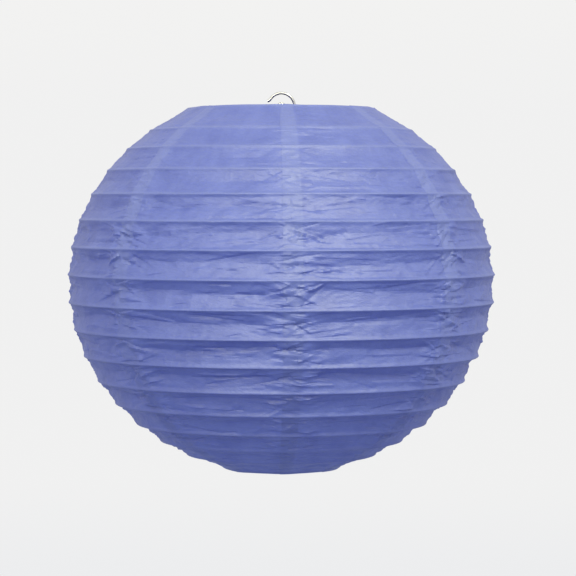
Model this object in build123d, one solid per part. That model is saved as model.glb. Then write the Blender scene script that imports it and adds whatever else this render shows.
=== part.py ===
from build123d import *
from math import atan2, cos, degrees, pi, radians, sin, sqrt
import os

# A round accordion paper lantern, in millimetres, +Z up, hanging from its hook.
# The origin is the inside of the hook's crown, where a nail or a line carries the lantern.
# The profile of the shade is an ellipse, cut off at the top ring and at the bottom ring. A station is
# a ring or hoop on it, at an angle up from the belly: station 0 is the top ring, 1 to 15 are the hoops
# and 16 is the bottom ring.

# Shade
shade_radius = 151.6
shade_half_height = 136.5
hoop_count = 15
top_ring_angle = 64.0
first_hoop_angle = 52.1
last_hoop_angle = -63.7
bottom_ring_angle = -74.3

# Wires, by diameter
hoop_wire = 1.0
ring_wire = 2.0
frame_wire = 2.0

# Paper
gore_count = 8
paper_thickness = 0.3
paper_gap = 0.06
paper_crease_depth = 1.8

# Hook
hook_inner_radius = 8.3
hook_tip_angle = 146.0
hook_flare_radius = 4.0
hook_flare_angle = 40.0
hook_leg_bend = 2.5
hook_pin_bend = 1.6
hook_plane_offset = 4.1
hook_tail_length = 5.0

# Expander
eye_clearance = 0.1
eye_pitch = 2.08
eye_lead = 4.0
ring_to_pivot = 2.8
ring_above_ear = 0.05
ear_step_start = 61.0
ear_step_end = 64.0
ear_corner = 74.1
lead_bend = 10.0
ear_bend = 2.5
shoulder_below_ring = 21.5
shoulder_bend = 6.0
foot_bend = 6.0
foot_clearance = 0.4
weld_gap = 0.4

# Worked-out sizes
hook_bow_radius = hook_inner_radius + frame_wire / 2
pivot_z = -hook_inner_radius
top_ring_z = pivot_z - ring_to_pivot
belly_z = top_ring_z - shade_half_height * sin(radians(top_ring_angle))
bottom_station = hoop_count + 1


def station(index):
    """Centre of the wire's section at a station, in the XZ plane."""
    share = (index - 1) / (hoop_count - 1)
    angle = first_hoop_angle + share * (last_hoop_angle - first_hoop_angle)
    if index == 0:
        angle = top_ring_angle
    if index == bottom_station:
        angle = bottom_ring_angle
    radius = shade_radius * cos(radians(angle))
    height = shade_half_height * sin(radians(angle))
    return Vector(radius, 0, belly_z + height)


def wire_radius(index):
    """Radius of the wire at a station."""
    return (ring_wire if index in (0, bottom_station) else hoop_wire) / 2


def outward(index):
    """Unit normal of the profile at a station, pointing away from the inside of the shade."""
    centre = station(index)
    rise = (centre.Z - belly_z) / shade_half_height**2
    return Vector(centre.X / shade_radius**2, 0, rise).normalized()


def wire_along(path):
    """The round wire of the hook and the expander along a path."""
    start = Plane(origin=path @ 0, z_dir=path % 0)
    return sweep(start * Circle(frame_wire / 2), path=path)


def closed_ring(index):
    """Round wire closed on itself at a station."""
    section = Plane.XZ * Circle(wire_radius(index))
    return revolve(Pos(station(index)) * section, Axis.Z)


def paper_band(upper):
    """The gore panels between one station and the next one down, creased inwards halfway."""
    lower = upper + 1
    above = station(upper) + outward(upper) * (wire_radius(upper) + paper_gap)
    below = station(lower) + outward(lower) * (wire_radius(lower) + paper_gap)
    normal = (outward(upper) + outward(lower)).normalized()
    crease = (above + below) / 2 - normal * paper_crease_depth
    inner = [above, crease, below]
    outer = [point + normal * paper_thickness for point in reversed(inner)]
    section = make_face(Polyline(*inner, *outer, close=True))
    gore_angle = 360 / gore_count
    panel = revolve(section, Axis.Z, gore_angle)
    return Compound(children=[Rot(0, 0, gore_angle * gore) * panel for gore in range(gore_count)])


def expander():
    """One bent wire: an eye, a bar each way, ears under the top ring, legs and a crossbar."""
    wire = frame_wire / 2
    eye_radius = wire + eye_clearance + wire
    eye_slope = eye_pitch / (2 * pi * eye_radius)
    bar_z = pivot_z - eye_radius
    ear_z = top_ring_z - wire_radius(0) - ring_above_ear - wire
    leg_x = station(bottom_station).X - wire_radius(bottom_station) - foot_clearance - wire
    foot_z = station(bottom_station).Z
    half = [
        Vector(0, -eye_pitch / 2, bar_z),
        Vector(eye_lead, -eye_pitch / 2 - eye_lead * eye_slope, bar_z),
        Vector(ear_step_start, 0, bar_z),
        Vector(ear_step_end, 0, ear_z),
        Vector(ear_corner, 0, ear_z),
        Vector(leg_x, 0, top_ring_z - shoulder_below_ring),
        Vector(leg_x, 0, foot_z),
        Vector(weld_gap / 2, 0, foot_z),
    ]
    bends = [lead_bend, ear_bend, ear_bend, ear_bend, shoulder_bend, foot_bend]
    other_half = [Vector(-point.X, -point.Y, point.Z) for point in half]
    right = FilletPolyline(*half, radius=bends)
    left = FilletPolyline(*reversed(other_half), radius=list(reversed(bends)))
    eye_plane = Plane(origin=(0, eye_pitch / 2, pivot_z), x_dir=(0, 0, -1), z_dir=(0, -1, 0))
    eye = eye_plane * Helix(eye_pitch, eye_pitch, eye_radius)
    return wire_along(Wire([*left.edges(), *eye.edges(), *right.edges()]))


def hanging_hook():
    """An open bow with a leg back to its centre, a pin through the expander's eye and a bent tail."""
    tip = Vector(hook_bow_radius, 0).rotate(Axis.Z, hook_tip_angle)
    tip_tangent = Vector(0, -1).rotate(Axis.Z, hook_tip_angle)
    leg_centre_y = -sqrt((hook_bow_radius - hook_leg_bend) ** 2 - hook_leg_bend**2)
    leg_start = degrees(atan2(leg_centre_y, hook_leg_bend))
    flare = JernArc(tip, -tip_tangent, hook_flare_radius, -hook_flare_angle)
    bow = CenterArc((0, 0), hook_bow_radius, hook_tip_angle, leg_start - hook_tip_angle)
    bend = CenterArc((hook_leg_bend, leg_centre_y), hook_leg_bend, leg_start, -180 - leg_start)
    bow_plane = Plane(origin=(0, -hook_plane_offset, pivot_z), x_dir=(1, 0, 0), z_dir=(0, -1, 0))
    leg_and_pin = FilletPolyline(
        Vector(0, -hook_plane_offset, pivot_z + leg_centre_y),
        Vector(0, -hook_plane_offset, pivot_z),
        Vector(0, hook_plane_offset, pivot_z),
        Vector(0, hook_plane_offset, pivot_z - hook_tail_length),
        radius=hook_pin_bend,
    )
    edges = [*(bow_plane * flare).edges(), *(bow_plane * bow).edges(), *(bow_plane * bend).edges()]
    return wire_along(Wire([*edges, *leg_and_pin.edges()]))


parts = {
    "hanging_hook": hanging_hook(),
    "expander_frame": expander(),
    "top_ring": closed_ring(0),
    "bottom_ring": closed_ring(bottom_station),
}
for index in range(1, hoop_count + 1):
    parts[f"hoop_{index:02d}"] = closed_ring(index)
for index in range(1, bottom_station + 1):
    parts[f"paper_band_{index:02d}"] = paper_band(index - 1)

os.makedirs("parts", exist_ok=True)
for name, shape in parts.items():
    export_step(shape, f"parts/{name}.step")
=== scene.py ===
import math

import bpy
import numpy as np
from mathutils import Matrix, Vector


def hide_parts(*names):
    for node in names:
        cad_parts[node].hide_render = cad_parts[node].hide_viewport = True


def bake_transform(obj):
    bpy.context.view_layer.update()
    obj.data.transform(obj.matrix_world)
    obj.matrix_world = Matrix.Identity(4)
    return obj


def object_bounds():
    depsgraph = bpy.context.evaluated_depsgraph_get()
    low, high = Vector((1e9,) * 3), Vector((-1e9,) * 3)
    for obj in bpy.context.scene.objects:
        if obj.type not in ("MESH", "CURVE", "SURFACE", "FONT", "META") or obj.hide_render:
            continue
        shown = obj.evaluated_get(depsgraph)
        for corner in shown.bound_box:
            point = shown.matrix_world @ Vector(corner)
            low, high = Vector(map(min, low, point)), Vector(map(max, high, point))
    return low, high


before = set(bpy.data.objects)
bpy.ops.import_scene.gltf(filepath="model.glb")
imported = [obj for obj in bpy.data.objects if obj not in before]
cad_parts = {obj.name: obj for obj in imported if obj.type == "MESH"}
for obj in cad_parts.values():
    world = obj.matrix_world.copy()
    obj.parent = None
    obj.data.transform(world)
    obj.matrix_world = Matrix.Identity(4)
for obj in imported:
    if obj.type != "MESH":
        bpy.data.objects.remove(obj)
cad_low, cad_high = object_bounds()

# A round accordion paper lantern on wire hoops, in metres, +Z up, hanging from its hook. The paper is
# made band by band, from one ring or hoop to the next one down, and each band is eight gore panels
# that lap over each other. Azimuth 0 is the front, at -Y, and grows towards +X.

MM = 0.001
SEED = 20

# Where the laps between the gores are, in degrees of azimuth, and how wide they are
LAP_CENTRES = (3.2, 49.5, 93.0, 137.5, 182.0, 226.0, 270.5, 314.3)
LAP_WIDTH = 6.0 * MM
LAP_WIDTH_GROWTH = 7.5 * MM

# Paper
PAPER_THICKNESS = 0.16 * MM
LAYER_GAP = 0.04 * MM
EDGE_TAPER = 1.6 * MM
WIRE_COVER = 0.33 * MM
COLUMN_WIDTH = 0.85 * MM
ROW_HEIGHT = 0.62 * MM
SHARP_ANGLE = math.radians(15)
RIDGE_SINK = 0.9 * MM
RIDGE_REACH = 1.3 * MM
# How wide the line along each wire is painted in the lap colours: a painted highlight high up, painted
# shade low down
WIRE_PAINTED_LIGHT_REACH = 0.9 * MM

# Hems, by how far past straight up or straight down they wrap towards the inside of a ring
TOP_HEM_WRAP = math.radians(105)
BOTTOM_HEM_WRAP = math.radians(62)
HEM_ROWS = 12
HEM_LOOSENESS = 0.35 * MM

# The V folds between the wires. The place is a share of the way down the band.
FOLD_DEPTH = 3.0 * MM
FOLD_TOP_DEPTH = 0.6 * MM
FOLD_PLACE = 0.42
FOLD_ROUNDING = 0.05
FOLD_RUN_OUT = 16 * MM
FOLD_AT_LAP = 0.3

# Crumples
FACET_DEPTH = 0.42 * MM
SMALL_FACET_DEPTH = 0.24 * MM
PUCKER_DEPTH = 0.13 * MM
PUCKER_REACH = 3.5 * MM
CRUMPLE_EASE = 2.2 * MM
CRUMPLED_LAP_REACH = 30 * MM
NOISE_ROWS = 64

# Creases: how many, and the limits of their lengths, depths and sides in millimetres. A count goes from
# the first number to one under the second. The place is a share of the way down the band.
PINCH_COUNT = (1, 4)
PINCH_REACH = (9, 28)
PINCH_DEPTH = (0.5, 1.1)
LAP_CREASE_COUNT = (6, 12)
LAP_CREASE_REACH = (5, 22)
LAP_CREASE_DEPTH = (0.25, 0.75)
LAP_CREASE_SLOPE = 0.3
PANEL_CREASE_COUNT = 90
PANEL_CREASE_REACH = (10, 60)
PANEL_CREASE_DEPTH = (0.25, 0.7)
PANEL_CREASE_SLOPE = 0.10
CREASE_PLACE = (0.12, 0.88)
STEEP_SIDE = (0.7, 1.2)
GENTLE_SIDE = (2.0, 5.5)

# How much of a fold, crumple or ridge is left where the paper has no slack
LEAST_CREASE = 0.3
LEAST_CRUMPLE = 0.4
LEAST_RIDGE = 0.45

# Paper colours: the paper from dark to light pulp, the laps' double paper in painted shade low down and
# painted light high up, and light through it
PAPER_DARK = (0.072, 0.114, 0.440, 1)
PAPER_LIGHT = (0.116, 0.166, 0.520, 1)
LAP_PAINTED_SHADE = (0.060, 0.094, 0.410, 1)
LAP_PAINTED_LIGHT = (0.190, 0.245, 0.580, 1)
# How far the laps, the top hem and the lines along the wires are painted towards the lap colours
PAINTED_LIGHT_TINT = 0.42
PAPER_THROUGH = (0.055, 0.10, 0.88, 1)
PAPER_THROUGH_SHARE = 0.36
PAPER_ROUGHNESS = (0.44, 0.66)
PAPER_IOR = 1.72
PAPER_SHEEN = 0.1
PAPER_SHEEN_ROUGHNESS = 0.45


class Station:
    """A ring or hoop: its height, radius and wire, as the frame has them."""

    def __init__(self, node):
        points = np.array([v.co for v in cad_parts[node].data.vertices])
        reach = np.hypot(points[:, 0], points[:, 1])
        self.wire = (reach.max() - reach.min()) / 2
        self.radius = reach.max() - self.wire
        self.height = (points[:, 2].max() + points[:, 2].min()) / 2
        self.normal = None

    def cover(self):
        """Radius and height of the paper's outer face where it passes over the wire."""
        lift = self.wire + WIRE_COVER
        return np.array([self.radius, self.height]) + self.normal * lift


def read_stations():
    """The top ring, the hoops and the bottom ring, from the top down."""
    hoops = sorted(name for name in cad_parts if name.startswith("hoop_"))
    stations = [Station(name) for name in ["top_ring", *hoops, "bottom_ring"]]
    for index, station in enumerate(stations):
        above = stations[max(index - 1, 0)]
        below = stations[min(index + 1, len(stations) - 1)]
        fall = np.array([below.radius - above.radius, below.height - above.height])
        station.normal = np.array([-fall[1], fall[0]]) / np.hypot(*fall)
    return stations


stations = read_stations()
band_count = len(stations) - 1
belly_radius = max(station.radius for station in stations)
random = np.random.default_rng(SEED)


# ---- paper shape ----


def smooth(value):
    """0 below 0, 1 above 1 and a smooth step between."""
    value = np.clip(value, 0, 1)
    return value * value * (3 - 2 * value)


class Noise:
    """Smooth random values over a band, from -1 to 1, that meet again after a full turn."""

    def __init__(self, radius, width, height):
        self.cells_round = max(3, round(2 * math.pi * radius / width))
        self.height = height
        self.values = random.uniform(-1, 1, (self.cells_round, NOISE_ROWS))

    def corners(self, azimuth, fall):
        """Place in a cell, and the values at its four corners."""
        across, down = azimuth / (2 * math.pi) * self.cells_round, fall / self.height
        column, row = np.floor(across).astype(int), np.floor(down).astype(int)
        sides = (column % self.cells_round, (column + 1) % self.cells_round)
        ends = (row % NOISE_ROWS, (row + 1) % NOISE_ROWS)
        values = [self.values[side, end] for end in ends for side in sides]
        return across - column, down - row, values

    def __call__(self, azimuth, fall):
        across, down, values = self.corners(azimuth, fall)
        across, down = smooth(across), smooth(down)
        near = values[0] * (1 - across) + values[1] * across
        far = values[2] * (1 - across) + values[3] * across
        return near * (1 - down) + far * down


class Facets(Noise):
    """Flat facets with crisp edges over a band, like crumpled paper, from -1 to 1."""

    def __call__(self, azimuth, fall):
        across, down, values = self.corners(azimuth, fall)
        upper = values[0] + across * (values[1] - values[0]) + down * (values[2] - values[0])
        lower = values[3] + (1 - across) * (values[2] - values[3])
        lower = lower + (1 - down) * (values[1] - values[3])
        return np.where(across + down < 1, upper, lower)


def wrapped(angle):
    """An angle brought to between minus and plus half a turn."""
    return (angle + math.pi) % (2 * math.pi) - math.pi


class Crease:
    """A straight crease with a crisp line, steep on one side and easing off gently on the other."""

    def __init__(self, azimuth, fall, across, down, depth, steep, gentle):
        self.azimuth, self.fall, self.across, self.down = azimuth, fall, across, down
        self.depth, self.steep, self.gentle = depth, steep, gentle

    def add_to(self, depth, azimuth, fall, radius):
        """Add the crease to the depths of the points that it reaches."""
        reach = max(abs(self.steep), abs(self.gentle))
        x = wrapped(azimuth - self.azimuth) * radius
        near_across = np.abs(x - self.across / 2) < abs(self.across) / 2 + reach
        near_down = np.abs(fall - self.fall - self.down / 2) < abs(self.down) / 2 + reach
        near = np.flatnonzero(near_across & near_down)
        x, y = x[near], fall[near] - self.fall
        length = math.hypot(self.across, self.down)
        along = (x * self.across + y * self.down) / length**2
        beyond = np.maximum(np.maximum(-along, along - 1), 0) * length
        side = (y * self.across - x * self.down) / length * math.copysign(1, self.across)
        away = np.where(side > 0, side / self.steep, -side / self.gentle)
        fade = np.clip(1 - away, 0, 1) * np.clip(1 - beyond / self.steep, 0, 1)
        depth[near] += self.depth * fade * (1 - np.clip(along, 0, 1) ** 3)


def length_between(limits):
    """A random length between two limits in millimetres."""
    return random.uniform(*limits) * MM


def new_crease(azimuth, fall, across, down, depth):
    """A crease with its steep side above or below it, as it falls."""
    widths = [length_between(STEEP_SIDE), length_between(GENTLE_SIDE)]
    if random.uniform() < 0.5:
        widths.reverse()
    return Crease(azimuth, fall, across, down, depth, *widths)


def lap_angle(radius):
    """Half the angle that a lap takes at a radius."""
    width = LAP_WIDTH + LAP_WIDTH_GROWTH * radius / belly_radius
    return width / radius / 2


def from_nearest_lap(azimuth):
    """Signed angle from the nearest lap's centre."""
    away = wrapped(azimuth[..., None] - np.radians(LAP_CENTRES))
    nearest = np.abs(away).argmin(axis=-1)
    return np.take_along_axis(away, nearest[..., None], axis=-1)[..., 0]


class Band:
    """One band of paper, and how far its folds and creases go in from the straight line."""

    def __init__(self, index):
        self.index = index
        self.above, self.below = stations[index], stations[index + 1]
        self.top, self.bottom = self.above.cover(), self.below.cover()
        fall = self.bottom - self.top
        self.length = np.hypot(*fall)
        self.down = fall / self.length
        self.out = np.array([-self.down[1], self.down[0]])
        self.radius = (self.top[0] + self.bottom[0]) / 2
        share = index / (band_count - 1)
        # Taut at the top, slack from the belly down, and a little tauter again at the bottom
        self.slack = smooth(share / 0.45) * smooth((1.12 - share) / 0.3)
        self.fold_depth = FOLD_TOP_DEPTH + (FOLD_DEPTH - FOLD_TOP_DEPTH) * self.slack
        self.wander = Noise(self.radius, 38 * MM, 1)
        self.sway = Noise(self.radius, 47 * MM, 1)
        self.warp = Noise(self.radius, 14 * MM, 9 * MM)
        self.patches = Noise(self.radius, 36 * MM, 30 * MM)
        self.facets = Facets(self.radius, 11 * MM, 5.2 * MM)
        self.small_facets = Facets(self.radius, 4.6 * MM, 2.6 * MM)
        self.pucker = Noise(self.radius, 2.6 * MM, 9 * MM)
        self.creases = self.lap_pinches() + self.lap_creases() + self.panel_creases()

    def slackened(self, least):
        """From least, where the band is taut, to 1, where it is slackest."""
        return least + (1 - least) * self.slack

    def lap_pinches(self):
        """A few strong creases that cross at each lap, where the fold is pinched."""
        creases = []
        for centre in np.radians(LAP_CENTRES):
            for side in (-1, 1):
                for _ in range(random.integers(*PINCH_COUNT)):
                    azimuth = centre + length_between((-4, 4)) / self.radius
                    fall = self.length * random.uniform(0.15, 0.5)
                    across = side * length_between(PINCH_REACH)
                    down = random.choice([-0.5, 1, 1]) * self.length * random.uniform(0.15, 0.45)
                    depth = random.choice([-1, 1]) * length_between(PINCH_DEPTH) * self.slack
                    creases.append(new_crease(azimuth, fall, across, down, depth))
        return creases

    def lap_creases(self):
        """Short creases that fan out from each lap."""
        creases = []
        for centre in np.radians(LAP_CENTRES):
            for side in (-1, 1):
                for _ in range(random.integers(*LAP_CREASE_COUNT)):
                    azimuth = centre + side * length_between((0, 12)) / self.radius
                    fall = self.length * random.uniform(*CREASE_PLACE)
                    across = side * length_between(LAP_CREASE_REACH)
                    depth = random.choice([-1, 1]) * length_between(LAP_CREASE_DEPTH)
                    depth = depth * self.slackened(LEAST_CREASE)
                    down = across * random.normal(0, LAP_CREASE_SLOPE)
                    creases.append(new_crease(azimuth, fall, across, down, depth))
        return creases

    def panel_creases(self):
        """Long creases that run nearly level across the panels."""
        creases = []
        for _ in range(PANEL_CREASE_COUNT):
            azimuth = random.uniform(0, 2 * math.pi)
            fall = self.length * random.uniform(*CREASE_PLACE)
            across = random.choice([-1, 1]) * length_between(PANEL_CREASE_REACH)
            depth = random.choice([-1, 1]) * length_between(PANEL_CREASE_DEPTH)
            depth = depth * self.slackened(LEAST_CREASE)
            down = across * random.normal(0, PANEL_CREASE_SLOPE)
            creases.append(new_crease(azimuth, fall, across, down, depth))
        return creases

    def fold_at(self, azimuth, share, lap):
        """Depth of the V that the band folds along, which runs out at the laps."""
        free = smooth(lap / FOLD_RUN_OUT)
        level = np.zeros_like(share)
        place = FOLD_PLACE + 0.10 * self.wander(azimuth, level)
        from_fold = np.where(share < place, (place - share) / place, (share - place) / (1 - place))
        fold = (1 - np.sqrt(from_fold**2 + FOLD_ROUNDING**2)) / (1 - FOLD_ROUNDING)
        strength = 1 + 0.35 * self.sway(azimuth, level)
        return self.fold_depth * fold * strength * (FOLD_AT_LAP + (1 - FOLD_AT_LAP) * free)

    def crumple_at(self, azimuth, fall, lap):
        """Depth of the crumples, which are deepest near the laps and in patches between them."""
        near_lap = 1 - smooth(lap / CRUMPLED_LAP_REACH)
        strength = 0.65 + 0.35 * self.patches(azimuth, fall) + 0.35 * near_lap
        strength = strength * self.slackened(LEAST_CRUMPLE)
        shift = self.warp(azimuth, fall)
        warped = (azimuth + 3 * MM * shift / self.radius, fall + 1.6 * MM * shift)
        large = FACET_DEPTH * self.facets(*warped)
        small = SMALL_FACET_DEPTH * self.small_facets(*warped)
        return strength * (large + small)

    def depth_at(self, azimuth, share):
        """How far in the outer face lies from the straight line between its two edges."""
        fall = share * self.length
        from_edge = np.minimum(fall, self.length - fall)
        held = 1 - np.exp(-((from_edge / RIDGE_REACH) ** 2))
        lap = (np.abs(from_nearest_lap(azimuth)) - lap_angle(self.radius)) * self.radius

        gathered = self.pucker(azimuth, fall) * np.exp(-from_edge / PUCKER_REACH)
        creased = self.crumple_at(azimuth, fall, lap) + PUCKER_DEPTH * gathered
        flat, turns, falls = creased.ravel().copy(), azimuth.ravel(), fall.ravel()
        for crease in self.creases:
            crease.add_to(flat, turns, falls, self.radius)
        creased = flat.reshape(share.shape) * smooth(from_edge / CRUMPLE_EASE)
        ridge = RIDGE_SINK * self.slackened(LEAST_RIDGE)
        return ridge * held + self.fold_at(azimuth, share, lap) * held + creased

    def points(self, azimuth, share, over, thickness):
        """The outer and inner face, with over how far the panel stands proud of the one under it."""
        depth = self.depth_at(azimuth, share)
        straight = self.top + (share * self.length)[..., None] * self.down
        profile = straight - depth[..., None] * self.out
        normal = self.above.normal + share[..., None] * (self.below.normal - self.above.normal)
        normal = normal / np.linalg.norm(normal, axis=-1, keepdims=True)
        inner = profile + normal * (over - PAPER_THICKNESS)[..., None]
        return inner + normal * thickness[..., None], inner

    def hem(self, station, wrap, azimuths, over):
        """The paper that wraps round a ring, a little loosely, from its inside to the band's edge."""
        edge = math.atan2(station.normal[1], station.normal[0])
        inside = math.copysign(math.pi / 2 + wrap, edge)
        share, azimuth = np.meshgrid(np.linspace(0, 1, HEM_ROWS + 1)[:-1], azimuths, indexing="ij")
        angle = inside + share * (edge - inside)
        direction = np.stack([np.cos(angle), np.sin(angle)], axis=-1)
        loose = HEM_LOOSENESS * (1 + self.sway(azimuth * 3, np.zeros_like(share)))
        loose = loose * np.sin(math.pi * share)
        lift = (station.wire + WIRE_COVER + over[None, :] + loose)[..., None]
        centre = np.array([station.radius, station.height])
        return centre + direction * lift, centre + direction * (lift - PAPER_THICKNESS)


def turned(profile, azimuth):
    """Radius and height at each azimuth, as points."""
    radius, height = profile[..., 0], profile[..., 1]
    return np.stack([radius * np.sin(azimuth), -radius * np.cos(azimuth), height], axis=-1)


def grid_faces(rows, columns, first, flipped):
    """Quads of a grid of points, numbered from first."""
    corner = first + np.arange(rows - 1)[:, None] * columns + np.arange(columns - 1)[None, :]
    corner = corner.ravel()
    faces = np.stack([corner, corner + columns, corner + columns + 1, corner + 1], axis=1)
    return faces[:, ::-1] if flipped else faces


def rim_faces(rows, columns, first, second):
    """Quads that close the edge between an outer and an inner grid."""
    top = np.arange(columns)
    right = np.arange(1, rows) * columns + columns - 1
    bottom = (rows - 1) * columns + np.arange(columns - 1)[::-1]
    left = np.arange(1, rows - 1)[::-1] * columns
    loop = np.concatenate([top, right, bottom, left])
    following = np.roll(loop, -1)
    return np.stack([first + loop, first + following, second + following, second + loop], axis=1)


def make_mesh(name, points, faces, places):
    """A mesh object of quads. Its UV maps hold the place on the paper in metres, and where and how high
    up the paper is painted lighter or darker as light and shade.
    """
    mesh = bpy.data.meshes.new(name)
    mesh.vertices.add(len(points))
    mesh.vertices.foreach_set("co", points.astype(np.float32).ravel())
    mesh.loops.add(faces.size)
    mesh.loops.foreach_set("vertex_index", faces.astype(np.int32).ravel())
    mesh.polygons.add(len(faces))
    mesh.polygons.foreach_set("loop_start", np.arange(0, faces.size, 4, dtype=np.int32))
    mesh.update(calc_edges=True)
    corners = faces.ravel()
    for layer_name, columns in (("paper", (0, 1)), ("lap", (2, 3))):
        layer = mesh.uv_layers.new(name=layer_name)
        layer.data.foreach_set("uv", places[corners][:, columns].astype(np.float32).ravel())
    mesh.polygons.foreach_set("use_smooth", [True] * len(mesh.polygons))
    mesh.set_sharp_from_angle(angle=SHARP_ANGLE)
    obj = bpy.data.objects.new(name, mesh)
    bpy.context.scene.collection.objects.link(obj)
    return obj


def spread(count, ease):
    """Values from 0 to 1 that lie closer together near both ends."""
    even = np.linspace(0, 1, count)
    return even - ease * np.sin(2 * math.pi * even) / (2 * math.pi)


def panel(band, gore):
    """Points, faces, places and cut height of a gore's panel, whose left edge laps over its neighbour."""
    half = lap_angle(band.radius)
    left = math.radians(LAP_CENTRES[gore]) - half
    right = math.radians(LAP_CENTRES[(gore + 1) % len(LAP_CENTRES)]) + half
    if right < left:
        right += 2 * math.pi
    rows = 2 + round(band.length / ROW_HEIGHT)
    columns = 2 + round((right - left) * band.radius / COLUMN_WIDTH)
    azimuths = np.linspace(left, right, columns)
    share, azimuth = np.meshgrid(spread(rows, 0.5), azimuths, indexing="ij")
    past_lap = azimuths - left - 2 * half
    over = (PAPER_THICKNESS + LAYER_GAP) * (1 - smooth(past_lap / (3 * half)))
    thickness = PAPER_THICKNESS * (0.25 + 0.75 * smooth((azimuths - left) * band.radius / EDGE_TAPER))
    outer, inner = band.points(azimuth, share, over, thickness)
    if band.index == 0:
        hem_outer, hem_inner = band.hem(band.above, TOP_HEM_WRAP, azimuths, over)
        outer, inner = np.concatenate([hem_outer, outer]), np.concatenate([hem_inner, inner])
    if band.index == band_count - 1:
        hem_outer, hem_inner = band.hem(band.below, BOTTOM_HEM_WRAP, azimuths, over)
        outer = np.concatenate([outer, hem_outer[::-1]])
        inner = np.concatenate([inner, hem_inner[::-1]])
    outer, inner = turned(outer, azimuths), turned(inner, azimuths)
    rows = len(outer)
    count = rows * columns
    faces = np.concatenate([
        grid_faces(rows, columns, 0, flipped=False),
        grid_faces(rows, columns, count, flipped=True),
        rim_faces(rows, columns, 0, count),
    ])
    below_rim = stations[0].height - outer[..., 2]
    flat = np.zeros_like(below_rim)
    # Where the paper is painted lighter or darker as light and shade: the laps, the top hem and a thin
    # line along each wire
    painted_light_mask = 1 - smooth(past_lap * band.radius / (0.8 * MM) + 0.5) + flat
    # The top hem is folded double paper, given the lap colour as a painted highlight along the rim
    if band.index == 0:
        painted_light_mask[:HEM_ROWS] = 1
    # A line along each wire in the lap colours: a painted highlight high up and painted shade low down
    height = outer[..., 2]
    from_wire = np.minimum(np.abs(height - band.top[1]), np.abs(height - band.bottom[1]))
    painted_light_mask = np.maximum(painted_light_mask, np.exp(-((from_wire / WIRE_PAINTED_LIGHT_REACH) ** 2)))
    level = band.index / (band_count - 1)
    place = [azimuths * band.radius + flat, below_rim, painted_light_mask, level + flat]
    place = np.stack(place, axis=-1).reshape(-1, 4)
    points = np.concatenate([outer.reshape(-1, 3), inner.reshape(-1, 3)])
    cut_height = np.linalg.norm(np.diff(outer, axis=0), axis=-1).sum(axis=0).mean()
    return points, faces, np.concatenate([place, place]), cut_height


def joined(parts):
    """Several panels' points, faces and places as one."""
    points, faces, places, count = [], [], [], 0
    for part_points, part_faces, part_places, _ in parts:
        points.append(part_points)
        faces.append(part_faces + count)
        places.append(part_places)
        count += len(part_points)
    return np.concatenate(points), np.concatenate(faces), np.concatenate(places)


# ---- materials ----


def new_material(name):
    material = bpy.data.materials.new(name)
    material.use_nodes = True
    tree = material.node_tree
    return material, tree, tree.nodes["Principled BSDF"]


def add(tree, kind, **values):
    """A shader node with some of its properties and unlinked inputs set."""
    node = tree.nodes.new(kind)
    for key, value in values.items():
        if key in node.inputs:
            node.inputs[key].default_value = value
        else:
            setattr(node, key, value)
    return node


def fibre_pattern(tree, place):
    """Long thin fibres that lie in three directions."""
    total = None
    for angle, stretch in ((0.3, 5.0), (-0.7, 6.0), (1.4, 5.0)):
        turn = add(tree, "ShaderNodeMapping")
        turn.inputs["Rotation"].default_value = (0, 0, angle)
        turn.inputs["Scale"].default_value = (1.0, stretch, 1.0)
        strands = add(tree, "ShaderNodeTexNoise", Scale=230.0, Detail=2.0, Distortion=1.2)
        tree.links.new(place.outputs["UV"], turn.inputs["Vector"])
        tree.links.new(turn.outputs["Vector"], strands.inputs["Vector"])
        if total is None:
            total = strands.outputs["Fac"]
            continue
        larger = add(tree, "ShaderNodeMath", operation="MAXIMUM")
        tree.links.new(total, larger.inputs[0])
        tree.links.new(strands.outputs["Fac"], larger.inputs[1])
        total = larger.outputs[0]
    return total


def crinkle_pattern(tree, place):
    """Fine creases too small for the mesh, mostly along the bands."""
    stretch = add(tree, "ShaderNodeMapping")
    stretch.inputs["Scale"].default_value = (0.5, 1.0, 1.0)
    ridges = add(tree, "ShaderNodeTexNoise", noise_type="RIDGED_MULTIFRACTAL", normalize=False)
    values = {"Scale": 150.0, "Detail": 3.0, "Roughness": 0.6, "Offset": 1.0, "Gain": 2.0}
    for name, value in values.items():
        ridges.inputs[name].default_value = value
    tree.links.new(place.outputs["UV"], stretch.inputs["Vector"])
    tree.links.new(stretch.outputs["Vector"], ridges.inputs["Vector"])
    return ridges.outputs["Fac"]


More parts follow.
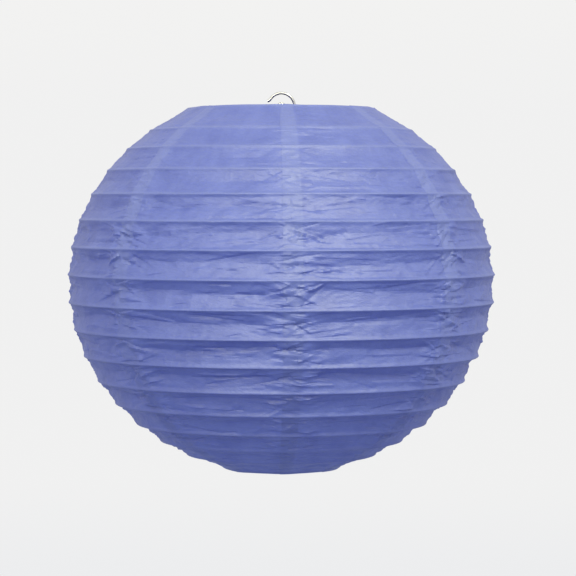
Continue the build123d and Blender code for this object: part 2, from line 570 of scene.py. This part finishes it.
def paper_material():
    """Thin satin blue paper with cloudy pulp, fibres and crinkles. The laps, the top hem and a line along
    each wire are painted lighter high up and darker low down, as painted light and shade.
    """
    material, tree, shader = new_material("blue_paper")
    link = tree.links.new
    place = add(tree, "ShaderNodeUVMap", uv_map="paper")
    cloud = add(tree, "ShaderNodeTexNoise", Scale=55.0, Detail=4.0, Roughness=0.6)
    speckle = add(tree, "ShaderNodeTexNoise", Scale=900.0, Detail=3.0, Roughness=0.7)
    link(place.outputs["UV"], cloud.inputs["Vector"])
    link(place.outputs["UV"], speckle.inputs["Vector"])
    fibres = fibre_pattern(tree, place)
    crinkles = crinkle_pattern(tree, place)

    tone = add(tree, "ShaderNodeMix", data_type="FLOAT")
    tone.inputs["Factor"].default_value = 0.45
    link(cloud.outputs["Fac"], tone.inputs["A"])
    link(fibres, tone.inputs["B"])
    ramp = add(tree, "ShaderNodeValToRGB")
    ramp.color_ramp.elements[0].position = 0.42
    ramp.color_ramp.elements[0].color = PAPER_DARK
    ramp.color_ramp.elements[1].position = 0.62
    ramp.color_ramp.elements[1].color = PAPER_LIGHT
    link(tone.outputs["Result"], ramp.inputs["Fac"])

    # Painted light and shade: the laps, the top hem and a line along each wire go towards a colour that
    # is darker low down and lighter high up
    lap = add(tree, "ShaderNodeUVMap", uv_map="lap")
    parts = add(tree, "ShaderNodeSeparateXYZ")
    link(lap.outputs["UV"], parts.inputs["Vector"])
    height = add(tree, "ShaderNodeMapRange")
    height.inputs["From Min"].default_value = 0.30
    height.inputs["From Max"].default_value = 0.75
    height.inputs["To Min"].default_value = 1.0
    height.inputs["To Max"].default_value = 0.0
    link(parts.outputs["Y"], height.inputs["Value"])
    lap_light_and_shade = add(tree, "ShaderNodeMix", data_type="RGBA")
    link(height.outputs["Result"], lap_light_and_shade.inputs["Factor"])
    lap_light_and_shade.inputs["A"].default_value = LAP_PAINTED_SHADE
    lap_light_and_shade.inputs["B"].default_value = LAP_PAINTED_LIGHT
    tint = add(tree, "ShaderNodeMix", data_type="RGBA")
    strength = add(tree, "ShaderNodeMath", operation="MULTIPLY")
    strength.inputs[1].default_value = PAINTED_LIGHT_TINT
    link(parts.outputs["X"], strength.inputs[0])
    link(strength.outputs[0], tint.inputs["Factor"])
    link(ramp.outputs["Color"], tint.inputs["A"])
    link(lap_light_and_shade.outputs["Result"], tint.inputs["B"])
    link(tint.outputs["Result"], shader.inputs["Base Color"])

    polish = add(tree, "ShaderNodeMapRange")
    polish.inputs["To Min"].default_value = PAPER_ROUGHNESS[0]
    polish.inputs["To Max"].default_value = PAPER_ROUGHNESS[1]
    link(speckle.outputs["Fac"], polish.inputs["Value"])
    link(polish.outputs["Result"], shader.inputs["Roughness"])
    shader.inputs["Specular IOR Level"].default_value = 1.0
    shader.inputs["IOR"].default_value = PAPER_IOR
    shader.inputs["Sheen Weight"].default_value = PAPER_SHEEN
    shader.inputs["Sheen Roughness"].default_value = PAPER_SHEEN_ROUGHNESS

    grain = add(tree, "ShaderNodeBump", Strength=0.7, Distance=0.00025)
    relief = add(tree, "ShaderNodeMath", operation="ADD")
    link(fibres, relief.inputs[0])
    link(speckle.outputs["Fac"], relief.inputs[1])
    link(relief.outputs[0], grain.inputs["Height"])
    bump = add(tree, "ShaderNodeBump", Strength=0.35, Distance=0.0004)
    link(crinkles, bump.inputs["Height"])
    link(grain.outputs["Normal"], bump.inputs["Normal"])
    link(bump.outputs["Normal"], shader.inputs["Normal"])

    through = add(tree, "ShaderNodeBsdfTranslucent")
    through.inputs["Color"].default_value = PAPER_THROUGH
    mix = add(tree, "ShaderNodeMixShader")
    mix.inputs["Fac"].default_value = PAPER_THROUGH_SHARE
    link(shader.outputs["BSDF"], mix.inputs[1])
    link(through.outputs["BSDF"], mix.inputs[2])
    link(mix.outputs["Shader"], tree.nodes["Material Output"].inputs["Surface"])
    return material


def wire_material(name, colour, rough_low, rough_high):
    """Drawn steel wire: cloudy oxide, fine scratches and a range of roughness."""
    material, tree, shader = new_material(name)
    link = tree.links.new
    place = add(tree, "ShaderNodeTexCoord")
    cloud = add(tree, "ShaderNodeTexNoise", Scale=260.0, Detail=4.0, Roughness=0.65)
    fine = add(tree, "ShaderNodeTexNoise", Scale=2600.0, Detail=2.0)
    link(place.outputs["Object"], cloud.inputs["Vector"])
    link(place.outputs["Object"], fine.inputs["Vector"])
    ramp = add(tree, "ShaderNodeValToRGB")
    ramp.color_ramp.elements[0].position = 0.35
    ramp.color_ramp.elements[0].color = tuple(0.72 * c for c in colour) + (1,)
    ramp.color_ramp.elements[1].position = 0.65
    ramp.color_ramp.elements[1].color = (*colour, 1)
    link(cloud.outputs["Fac"], ramp.inputs["Fac"])
    link(ramp.outputs["Color"], shader.inputs["Base Color"])
    shader.inputs["Metallic"].default_value = 1.0
    polish = add(tree, "ShaderNodeMapRange")
    polish.inputs["To Min"].default_value = rough_low
    polish.inputs["To Max"].default_value = rough_high
    link(fine.outputs["Fac"], polish.inputs["Value"])
    link(polish.outputs["Result"], shader.inputs["Roughness"])
    bump = add(tree, "ShaderNodeBump", Strength=0.15, Distance=0.00005)
    link(fine.outputs["Fac"], bump.inputs["Height"])
    link(bump.outputs["Normal"], shader.inputs["Normal"])
    return material


# ---- pieces ----


def paper_bands(material):
    """Every band of paper, folding between the two wires that it is glued to."""
    for index in range(band_count):
        band = Band(index)
        node = f"paper_band_{index + 1:02d}"
        parts = [panel(band, gore) for gore in range(len(LAP_CENTRES))]
        obj = make_mesh(f"{node}_paper", *joined(parts))
        obj.data.materials.append(material)
        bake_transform(obj)
        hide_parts(node)


def finish_wires():
    """Materials for the wires, whose shapes stay as the frame has them: the hoops are duller."""
    bright = wire_material("bright_wire", (0.58, 0.58, 0.60), 0.16, 0.36)
    dull = wire_material("dull_wire", (0.52, 0.52, 0.54), 0.30, 0.5)
    for name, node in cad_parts.items():
        if name.startswith("paper_band"):
            continue
        node.data.materials.clear()
        node.data.materials.append(dull if name.startswith("hoop") else bright)
        node.data.polygons.foreach_set("use_smooth", [True] * len(node.data.polygons))


paper_bands(paper_material())
finish_wires()


# ---- stage, lights and camera ----

FLOOR_DROP = 2.5
FLOOR_REACH = 1.5

# The studio's colour from straight down, 0, to straight up, 1
WORLD_COLOURS = (
    (0.20, (0.35, 0.41, 0.53)),
    (0.44, (0.70, 0.70, 0.70)),
    (0.52, (0.70, 0.70, 0.70)),
    (0.80, (0.84, 0.82, 0.76)),
)
WORLD_STRENGTH = 1.25


def make_floor():
    """A pale floor, far below the lantern."""
    corners = [(-1, -1), (1, -1), (1, 1), (-1, 1)]
    level = cad_low.z - FLOOR_DROP
    mesh = bpy.data.meshes.new("floor")
    points = [(x * FLOOR_REACH, y * FLOOR_REACH, level) for x, y in corners]
    mesh.from_pydata(points, [], [(0, 1, 2, 3)])
    floor = bpy.data.objects.new("floor", mesh)
    bpy.context.scene.collection.objects.link(floor)
    material, _, shader = new_material("pale_floor")
    shader.inputs["Base Color"].default_value = (0.40, 0.46, 0.58, 1)
    shader.inputs["Roughness"].default_value = 0.9
    mesh.materials.append(material)


def area_light(name, place, target, size, power, colour):
    """A round light that faces its target."""
    data = bpy.data.lights.new(name, "AREA")
    data.shape = "DISK"
    data.size = size
    data.energy = power
    data.color = colour
    light = bpy.data.objects.new(name, data)
    light.location = place
    light.rotation_euler = (target - place).to_track_quat("-Z", "Y").to_euler()
    bpy.context.scene.collection.objects.link(light)


def make_world():
    """A pale studio, brighter overhead and bluer from below."""
    world = bpy.data.worlds.new("studio")
    world.use_nodes = True
    tree = world.node_tree
    direction = add(tree, "ShaderNodeTexCoord")
    parts = add(tree, "ShaderNodeSeparateXYZ")
    level = add(tree, "ShaderNodeMapRange")
    level.inputs["From Min"].default_value = -1.0
    ramp = add(tree, "ShaderNodeValToRGB")
    for position, colour in WORLD_COLOURS:
        stop = ramp.color_ramp.elements.new(position)
        stop.color = (*colour, 1)
    for _ in range(2):
        ends = [stop for stop in ramp.color_ramp.elements if stop.position in (0.0, 1.0)]
        ramp.color_ramp.elements.remove(ends[0])
    tree.links.new(direction.outputs["Generated"], parts.inputs["Vector"])
    tree.links.new(parts.outputs["Z"], level.inputs["Value"])
    tree.links.new(level.outputs["Result"], ramp.inputs["Fac"])
    tree.links.new(ramp.outputs["Color"], tree.nodes["Background"].inputs["Color"])
    tree.nodes["Background"].inputs["Strength"].default_value = WORLD_STRENGTH
    bpy.context.scene.world = world


def make_lights():
    """A small key light from the right and a large soft one from the left, both warm and from above."""
    centre = (cad_low + cad_high) / 2
    key_place = centre + Vector((0.9, -1.5, 1.5))
    area_light("key", key_place, centre, size=0.6, power=36, colour=(1.0, 0.98, 0.62))
    softbox_place = centre + Vector((-0.8, -2.7, 1.5))
    area_light("softbox", softbox_place, centre, size=2.4, power=60, colour=(1.0, 0.99, 0.70))


CAMERA_DISTANCE = 1.667
CAMERA_LENS = 145.6
CAMERA_SENSOR = 36
EYE_ABOVE_BELLY = 0.051
AIM_BELOW_BELLY = 0.0101
AIM_RIGHT = 0.0047


def make_camera():
    """A long lens, a little above the belly and aimed just below it."""
    belly = max(stations, key=lambda station: station.radius).height
    data = bpy.data.cameras.new("camera")
    data.lens = CAMERA_LENS
    data.sensor_width = CAMERA_SENSOR
    camera = bpy.data.objects.new("camera", data)
    camera.location = (AIM_RIGHT, -CAMERA_DISTANCE, belly + EYE_ABOVE_BELLY)
    aim = Vector((AIM_RIGHT, 0, belly - AIM_BELOW_BELLY))
    camera.rotation_euler = (aim - camera.location).to_track_quat("-Z", "Y").to_euler()
    bpy.context.scene.collection.objects.link(camera)
    bpy.context.scene.camera = camera


make_floor()
make_lights()
make_world()
make_camera()
bpy.context.scene.view_settings.view_transform = "Standard"
